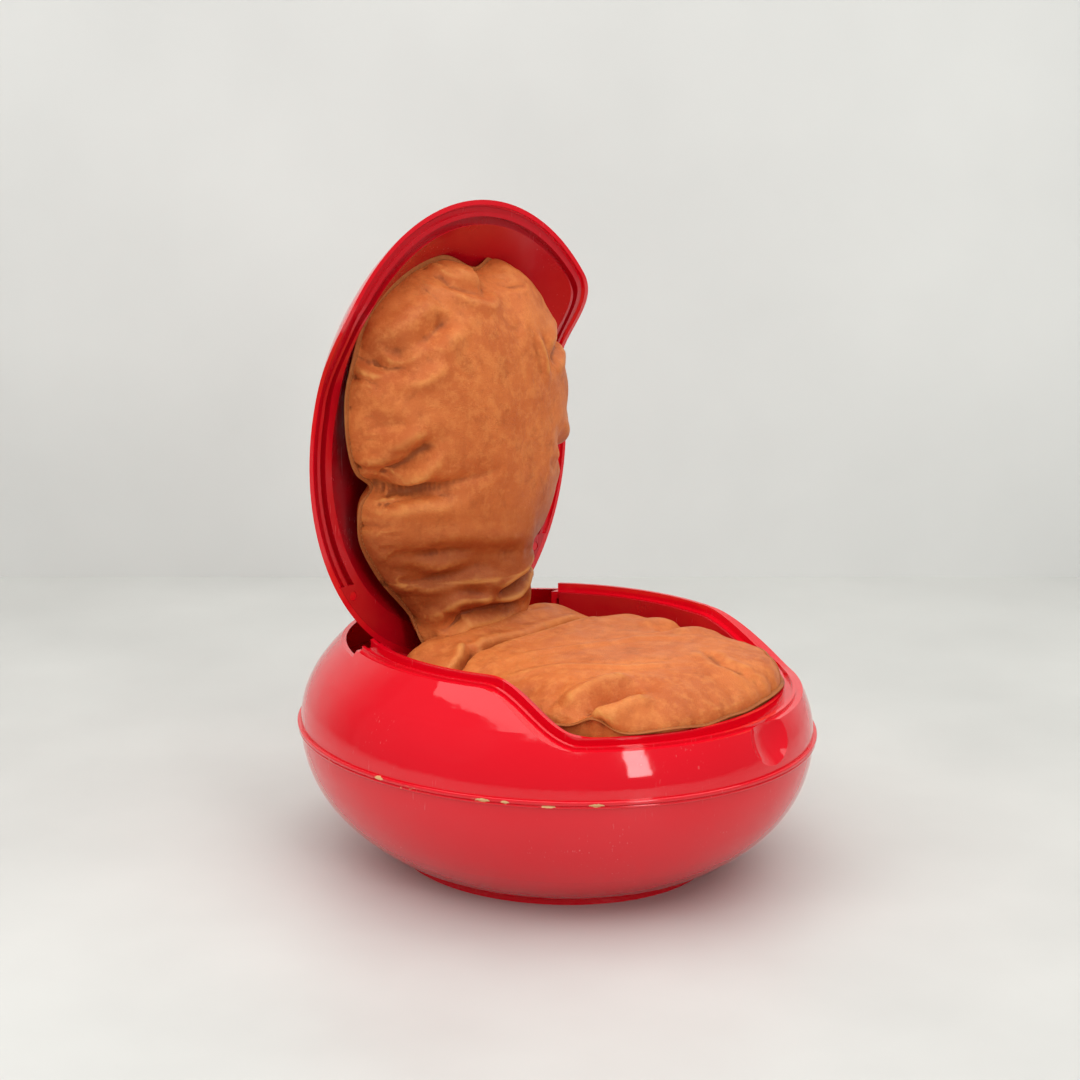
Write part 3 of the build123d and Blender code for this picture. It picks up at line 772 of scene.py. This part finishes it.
seat_seam = [
    (-0.190, 0.150), (-0.224, 0.090), (-0.236, 0.000), (-0.235, -0.100), (-0.226, -0.190),
    (-0.206, -0.268), (-0.140, -0.328), (-0.050, -0.351), (0.045, -0.351), (0.140, -0.328),
    (0.206, -0.268), (0.228, -0.190), (0.236, -0.100), (0.236, 0.000), (0.224, 0.090),
    (0.190, 0.150), (0.095, 0.158), (-0.095, 0.158),
]
seat_outline = Outline(seat_seam, (0.0, -0.095))
seat_seam_z = 0.297
seat_depth = 0.132
seat_rise = 0.041
seat_crown = 0.002
seat_corner = 6
seat_corner_gain = 12
seat_corner_reach = 0.15
seat_step_start = 0.012
seat_step_length = 0.032
seat_low = 0.036
seat_low_half = 0.215
seat_climb = 0.026
seat_climb_start = 0.05
seat_climb_length = 0.08
seat_roll = 0.007
seat_roll_y = 0.004
seat_roll_width = 0.024
seat_valley = 0.011
seat_valley_y = 0.046
seat_valley_width = 0.014
seat_held_below = 0.004
seat_held_share = 0.98
seat_arch_turn = -2.53
seat_arch_width = 0.10
seat_arch_rise = 0.019
seat_arch_below = 0.03
seat_arch_inner = 0.80
seat_arch_band = 0.18
seat_slack = 0.006
seat_cap = 0.022
seat_pressure = 1.5
seat_gathers = 20
seat_gather_depth = 0.006
seat_gather_seed = 8
seat_lip = 0.006
seat_ripple = 0.0014
seat_ripple_seed = 21
side_seam_start = -1.02
side_seam_end = 0.75
side_seam_steps = 90
side_seam_ramp = 0.16
side_seam_inset = 0.045
side_seam_rise = 0.036
side_seam_width = 0.004
side_seam_thickness = 0.0034
seat_folds = [
    ([(-0.175, 0.056), (-0.085, 0.046), (0.000, 0.036), (0.100, 0.042), (0.200, 0.050)], 0.012, 0.011),
    ([(-0.215, -0.040), (-0.124, -0.115), (-0.069, -0.195), (0.010, -0.250)], -0.0022, 0.007),
    ([(-0.180, -0.010), (-0.060, -0.060), (0.060, -0.110), (0.130, -0.190)], -0.0018, 0.008),
    ([(-0.228, -0.215), (-0.195, -0.228), (-0.150, -0.238), (-0.110, -0.258)], 0.019, 0.017),
    ([(-0.110, 0.075), (-0.140, 0.050), (-0.190, 0.040)], 0.011, 0.009),
    ([(0.225, -0.113), (0.180, -0.113), (0.120, -0.100)], 0.010, 0.020),
    ([(-0.160, 0.135), (-0.060, 0.120), (0.050, 0.130), (0.150, 0.120)], 0.006, 0.012),
    ([(0.060, -0.330), (0.050, -0.280), (0.080, -0.230)], 0.005, 0.010),
]


def seat_lift(flat, height):
    """Point of the seat cushion from its plan and its height above the seam."""
    return np.stack([flat[:, 0], flat[:, 1], seat_seam_z + height], axis=-1)


def seat_face(flat, share):
    """Boxy front pad with a low crown, and a rear part that stays full to its end."""
    rear = smooth(np.clip((flat[:, 1] - seat_step_start) / seat_step_length, 0, 1))
    boxy = seat_corner + seat_corner_gain * np.clip(flat[:, 0] / seat_corner_reach, 0, 1)
    pad = seat_rise * (1 - share ** boxy) ** 0.5 + seat_crown * (1 - share ** 2)
    across = np.clip(np.abs(flat[:, 0]) / seat_low_half, 0, 1)
    climb = np.clip((flat[:, 1] - seat_climb_start) / seat_climb_length, 0, 1)
    low = (seat_low + seat_climb * climb) * (1 - across ** 4) ** 0.5 * (1 - share ** 30) ** 0.5
    roll = seat_roll * np.exp(-(((flat[:, 1] - seat_roll_y) / seat_roll_width) ** 2))
    valley = seat_valley * np.exp(-(((flat[:, 1] - seat_valley_y) / seat_valley_width) ** 2))
    return np.maximum(pad * (1 - rear) + low * rear + (roll - valley) * (1 - share ** 6), 0.0)


def seat_rear(flat, share):
    """Height of the underside."""
    return -seat_depth * (1 - share ** 8) ** 0.4


def seat_held(points):
    """Where the cloth is held: below the seam and at its edge."""
    share = seat_outline.share(points[:, :2])[1]
    below = points[:, 2] < seat_seam_z - seat_held_below
    return below | (share > seat_held_share)


def seat_arch(angles):
    """Lift of the seam where it is pinched at the front corner."""
    turned = np.mod(angles - seat_arch_turn + math.pi, 2 * math.pi) - math.pi
    return seat_arch_rise * np.exp(-((turned / seat_arch_width) ** 2))


def side_seam_guide():
    """Line of the upper side seam, from the front corner along the far side."""
    turns = np.linspace(side_seam_start, side_seam_end, side_seam_steps)
    rise = np.clip((turns - side_seam_start) / side_seam_ramp, 0, 1)
    flat = seat_outline.at(turns, 1.0 - side_seam_inset * rise)
    return seat_lift(flat, side_seam_rise * smooth(rise))


def make_seat_cushion(neck):
    """Seat cushion with its sewing, and the neck of the back cushion that lies on it."""
    cushion = pillow("seat_cushion", seat_outline, seat_face, seat_rear, seat_lift, leather)
    inflate(cushion, seat_held, seat_slack, seat_cap, seat_pressure)
    points = points_of(cushion)
    angles, shares = seat_outline.share(points[:, :2])
    near = np.clip((shares - seat_arch_inner) / seat_arch_band, 0, 1)
    upper = points[:, 2] > seat_seam_z - seat_arch_below
    points[:, 2] += seat_arch(angles) * near * upper
    set_points(cushion, points)
    finish_cushion(
        cushion, 2, seat_outline, seat_folds, seat_gathers, seat_gather_depth, seat_gather_seed)
    ripples = ripple(seat_ripple, seat_ripple_seed)

    def wave(turns):
        return ripples(turns) + seat_arch(turns)

    pieces = [
        rim_lip("seat_cushion_edge", seat_outline, seat_lift, wave, seat_lip, lip_thickness, gusset),
        stitches("seat_cushion_stitches", seat_outline, seat_lift, wave, thread),
        surface_seam("seat_cushion_side_seam", cushion, side_seam_guide(), side_seam_width,
                     side_seam_thickness, gusset),
    ]
    return join(cushion, pieces + [neck])


back_cushion, back_neck = make_back_cushion()
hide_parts("back_cushion_cover", "back_cushion_foam", "back_cushion_back_panel")
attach(back_cushion, "lid")
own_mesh(back_cushion)

seat_cushion = make_seat_cushion(back_neck)
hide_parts("seat_cushion_cover", "seat_cushion_foam", "seat_cushion_base_panel")
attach(seat_cushion, "base")
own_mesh(seat_cushion)


def see_through_from_behind(material):
    """Let a camera behind the wall look through it."""
    tree = material.node_tree
    sides = tree.nodes.new("ShaderNodeNewGeometry")
    clear = tree.nodes.new("ShaderNodeBsdfTransparent")
    choice = tree.nodes.new("ShaderNodeMixShader")
    tree.links.new(sides.outputs["Backfacing"], choice.inputs["Fac"])
    tree.links.new(tree.nodes["Principled BSDF"].outputs["BSDF"], choice.inputs[1])
    tree.links.new(clear.outputs["BSDF"], choice.inputs[2])
    tree.links.new(choice.outputs["Shader"], tree.nodes["Material Output"].inputs["Surface"])


camera_place = Vector((-2.600, -2.088, 1.264))
camera_view = Vector((0.7559, 0.6156, -0.2226))
view_flat = np.array([camera_view.x, camera_view.y]) / math.hypot(camera_view.x, camera_view.y)
stage_reach = 9
wall_distance = 5.137
wall_height = 6.0


def make_stage():
    """Pale floor and a wall that meets it behind the chair."""
    floor_paint = plain("pale floor", rgb(219, 219, 215), 0.5, scale=2.0)
    wall_paint = plain("pale wall", rgb(236, 237, 234), 0.85, scale=1.0)
    signs = [(-1, -1), (1, -1), (1, 1), (-1, 1)]
    points = [(x * stage_reach, y * stage_reach, 0) for x, y in signs]
    floor = mesh_object("floor", points, [(0, 1, 2, 3)], floor_paint)
    middle = camera_place + Vector((*view_flat, 0.0)) * wall_distance
    across = Vector((view_flat[1], -view_flat[0], 0.0)) * stage_reach
    corners = [middle - across, middle + across]
    points = [(c.x, c.y, 0.0) for c in corners] + [(c.x, c.y, wall_height) for c in reversed(corners)]
    wall = mesh_object("wall", points, [(0, 1, 2, 3)], wall_paint)
    see_through_from_behind(wall.data.materials[0])


def area_light(name, place, target, width, height, power, colour=(1.0, 1.0, 1.0)):
    """Rectangular lamp at a place, turned to a target."""
    light = bpy.data.lights.new(name, "AREA")
    light.shape = "RECTANGLE"
    light.size = width
    light.size_y = height
    light.energy = power
    light.color = colour
    lamp = bpy.data.objects.new(name, light)
    lamp.location = place
    lamp.rotation_euler = (Vector(target) - Vector(place)).to_track_quat("-Z", "Y").to_euler()
    scene.collection.objects.link(lamp)
    return lamp


make_stage()
area_light("window", (-1.6, -3.4, 1.6), (0, 0, 0.3), width=0.7, height=1.7, power=30.0)
side_fill = area_light("side fill", (-2.5, 1.0, 1.8), (0, 0, 0.2), width=2.4, height=2.0, power=31.0)
side_fill.visible_glossy = False
area_light("ceiling", (-0.15, -0.65, 3.4), (0, 0, 0), width=5.5, height=5.5, power=172.0,
           colour=(1.0, 0.998, 0.985))

world = bpy.data.worlds.new("studio")
scene.world = world
world.use_nodes = True
sky = world.node_tree.nodes["Background"]
sky.inputs["Color"].default_value = (1.0, 1.0, 0.985, 1.0)
sky.inputs["Strength"].default_value = 0.24

lens = bpy.data.cameras.new("camera")
lens.lens = 73.77
lens.sensor_width = 36.0
camera = bpy.data.objects.new("camera", lens)
camera.location = camera_place
camera.rotation_euler = camera_view.to_track_quat("-Z", "Y").to_euler()
scene.collection.objects.link(camera)
scene.camera = camera
scene.view_settings.view_transform = "Standard"
